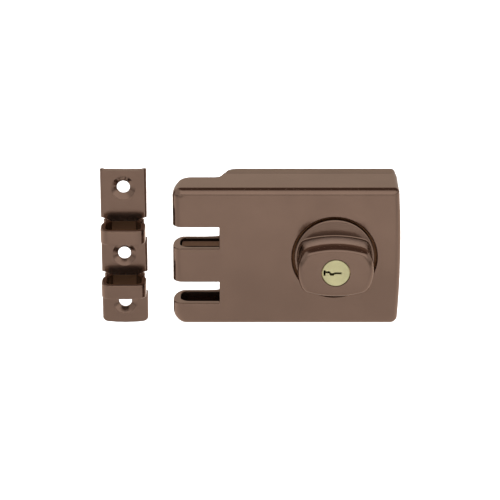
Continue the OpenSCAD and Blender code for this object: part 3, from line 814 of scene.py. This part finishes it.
def ring_shade(recipe):
    """Painted shade: darkens the inside of the strike's rings."""
    across = recipe.math("ABSOLUTE", recipe.math("SUBTRACT", recipe.axis("X"), STRIKE_X * MM))
    between = recipe.band(across, -FAR, (RING_HALF - RING_WALL + 0.1) * MM, 0.1 * MM)
    deep = recipe.band(recipe.axis("Y"), (RING_FRONT + RING_WALL - 0.2) * MM,
                       (STRIKE_FRONT + 0.1) * MM, 0.1 * MM)
    inside = recipe.math("MULTIPLY", between, deep)
    for low in RING_LOW:
        level = recipe.band(recipe.axis("Z"), low * MM, (low + RING_H) * MM, 0.2 * MM)
        recipe.tint(recipe.math("MULTIPLY", inside, level), GREASE_AND_SHADE, 0.45)


def bare_metal(name, colour, roughness, grain=(1, 1, 1), wear=0.08, fine=1600, strength=0.12, edge=(1, 1, 1)):
    """Metal with fine grain, cloudy roughness and slightly uneven colour. edge tints it at grazing angles."""
    recipe = Recipe(name)
    dark = tuple(c * (1 - wear) for c in colour)
    light = tuple(min(c * (1 + wear), 1) for c in colour)
    streaks = recipe.noise(fine, 3, 0.55, grain)
    recipe.drive("Base Color", recipe.ramp(recipe.noise(90, 4, 0.6), [(0.25, dark), (0.75, light)]))
    recipe.drive("Roughness", recipe.ramp(streaks, [(0.2, roughness * 0.75), (0.8, roughness * 1.3)]))
    recipe.constant(Metallic=1.0, Specular_Tint=(*edge, 1))
    recipe.bump(streaks, strength, 0.0001)
    return recipe.material


def make_materials():
    browns = {
        "brown_finish": dict(colour=BROWN, extra=seam_dirt),
        "brown_base": dict(colour=(0.17, 0.105, 0.075), roughness=0.22, extra=seam_dirt),
        "knob_finish": dict(colour=BROWN, extra=knob_wear_and_painted_light),
        "strike_finish": dict(colour=(0.195, 0.125, 0.093), roughness=0.17, peel=0.05, extra=ring_shade),
    }
    metals = {
        "zinc_plate": dict(colour=(0.42, 0.42, 0.43), roughness=0.36, grain=(1, 1, 0.06), wear=0.14),
        "bolt_plate": dict(colour=(0.55, 0.55, 0.56), roughness=0.35, grain=(1, 1, 0.05)),
        "prong_steel": dict(colour=(0.19, 0.12, 0.093), roughness=0.3, grain=(0.1, 1, 1),
                            edge=(0.45, 0.405, 0.36)),
        "hub_metal": dict(colour=(0.42, 0.42, 0.44), roughness=0.5, wear=0.12, fine=700, strength=0.3),
        "pin_steel": dict(colour=(0.62, 0.62, 0.64), roughness=0.22),
        "screw_steel": dict(colour=(0.60, 0.60, 0.61), roughness=0.26),
        "screw_dark": dict(colour=(0.16, 0.11, 0.085), roughness=0.34, edge=(0.6, 0.54, 0.48)),
        "spring_steel": dict(colour=(0.45, 0.47, 0.52), roughness=0.24),
        "brass_body": dict(colour=(0.70, 0.54, 0.25), roughness=0.3, grain=(0.2, 1, 0.2)),
        "pin_brass": dict(colour=(0.74, 0.57, 0.28), roughness=0.22),
        "plug_brass": dict(colour=(0.585, 0.545, 0.31), roughness=0.42, wear=0.10, fine=2600, strength=0.25),
    }
    materials = {name: brown_coating(name, **values) for name, values in browns.items()}
    materials.update({name: bare_metal(name, **values) for name, values in metals.items()})
    return materials


# ---------------------------------------------------------------- studio


CAMERA_TARGET = (-0.04455, FRONT * MM, 0.0043)
CAMERA_DISTANCE = 1.3
CAMERA_ELEVATION = math.radians(20.5)
CAMERA_LENS = 177.84                 # in mm, for a sensor 36 mm wide
FLOOR_HALF = 6.0
FLOOR_Z = -0.17
# The case mirrors the floor, so the lamps light the floor: behind the object, close in front of it and
# far in front. Each has its name, its place, a point that it is aimed at, its size and its watts.
LAMPS = (
    ("back", (-0.05, 0.75, 1.0), (-0.05, 1.25, 0), (2.0, 1.6), 78),
    ("front", (-0.05, -0.66, -0.06), (-0.05, -0.66, -1), (1.2, 0.4), 1.65),
    ("far_front", (-0.05, -3.3, 0.4), (-0.05, -3.3, 0), (5.0, 3.6), 75),
)
PANEL = (0.11, 0.05, 0.025)          # dark panel overhead
# Light of the sky from the back horizon, 0, over the zenith, 0.5, to the front horizon, 1
SKY = ((0.0, 0.9), (0.165, 0.86), (0.20, PANEL), (0.555, PANEL), (0.60, 1.0), (0.80, 1.25), (0.965, 1.25),
       (0.98, 0.35), (1.0, 0.95))
SKY_SIDES = ((-0.62, -0.42), (0.92, 0.78))   # between these values of X it fades in from the side light
SIDE_LIGHT = 0.75
SEEN_LIGHT = 1.05                    # what the camera sees behind the object


def make_camera():
    """The camera stands 20.5 degrees above the case's front, square to it."""
    back = Vector((0, -math.cos(CAMERA_ELEVATION), math.sin(CAMERA_ELEVATION)))
    data = bpy.data.cameras.new("camera")
    data.lens = CAMERA_LENS
    data.sensor_width = 36
    camera = bpy.data.objects.new("camera", data)
    camera.location = Vector(CAMERA_TARGET) + back * CAMERA_DISTANCE
    camera.rotation_euler = (math.pi / 2 - CAMERA_ELEVATION, 0, 0)
    bpy.context.scene.collection.objects.link(camera)
    bpy.context.scene.camera = camera


def make_floor():
    mesh = bpy.data.meshes.new("floor")
    corners = [(x * FLOOR_HALF, y * FLOOR_HALF, FLOOR_Z) for x, y in ((-1, -1), (1, -1), (1, 1), (-1, 1))]
    mesh.from_pydata(corners, [], [(0, 1, 2, 3)])
    floor = bpy.data.objects.new("floor", mesh)
    bpy.context.scene.collection.objects.link(floor)
    recipe = Recipe("floor_paper")
    recipe.constant(Base_Color=rgba(0.5), Roughness=0.9, Specular_IOR_Level=0.1)
    mesh.materials.append(recipe.material)


def area_light(name, at, towards, size, power):
    """A lamp that neither the camera nor a reflection sees."""
    data = bpy.data.lights.new(name, "AREA")
    data.shape = "RECTANGLE"
    data.size, data.size_y = size
    data.energy = power
    light = bpy.data.objects.new(name, data)
    light.location = at
    light.rotation_euler = (Vector(towards) - Vector(at)).to_track_quat("-Z", "Y").to_euler()
    light.visible_camera = False
    light.visible_glossy = False
    bpy.context.scene.collection.objects.link(light)


def make_world():
    """A light tent with a dark panel overhead. The camera itself sees plain white."""
    world = bpy.data.worlds.new("studio")
    bpy.context.scene.world = world
    nodes = Nodes(world, "Generated")
    angle = nodes.math("ARCTAN2", nodes.axis("Z"), nodes.axis("Y"))
    sky = nodes.ramp(nodes.math("DIVIDE", angle, math.pi), SKY)
    left, right = [nodes.slope(nodes.axis("X"), start, end) for start, end in SKY_SIDES]
    tent = nodes.mix(nodes.math("MULTIPLY", left, right), rgba(SIDE_LIGHT), sky)
    seen = nodes.add("ShaderNodeLightPath").outputs["Is Camera Ray"]
    nodes.feed(nodes.tree.nodes["Background"].inputs["Color"], nodes.mix(seen, tent, rgba(SEEN_LIGHT)))


def make_studio():
    make_floor()
    make_world()
    for lamp in LAMPS:
        area_light(*lamp)
    bpy.context.scene.view_settings.view_transform = "Standard"


# ---------------------------------------------------------------- assembly


def place(piece, node, body, slot, materials):
    piece.data.materials.clear()
    piece.data.materials.append(materials[slot])
    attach(piece, body)
    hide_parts(node)


make_camera()
make_studio()
MATERIALS = make_materials()
for part in frame["record"]["subparts"]:
    node = frame["nodes"][part["node"]]
    node.data.materials.clear()
    node.data.materials.append(MATERIALS[part["material_slot"]])
place(case_cover(), "case_cover", "case", "brown_finish", MATERIALS)
place(knob(), "knob_grip", "knob", "knob_finish", MATERIALS)
place(plug(), "key_plug", "plug", "plug_brass", MATERIALS)
place(strike(), "strike", "strike", "strike_finish", MATERIALS)
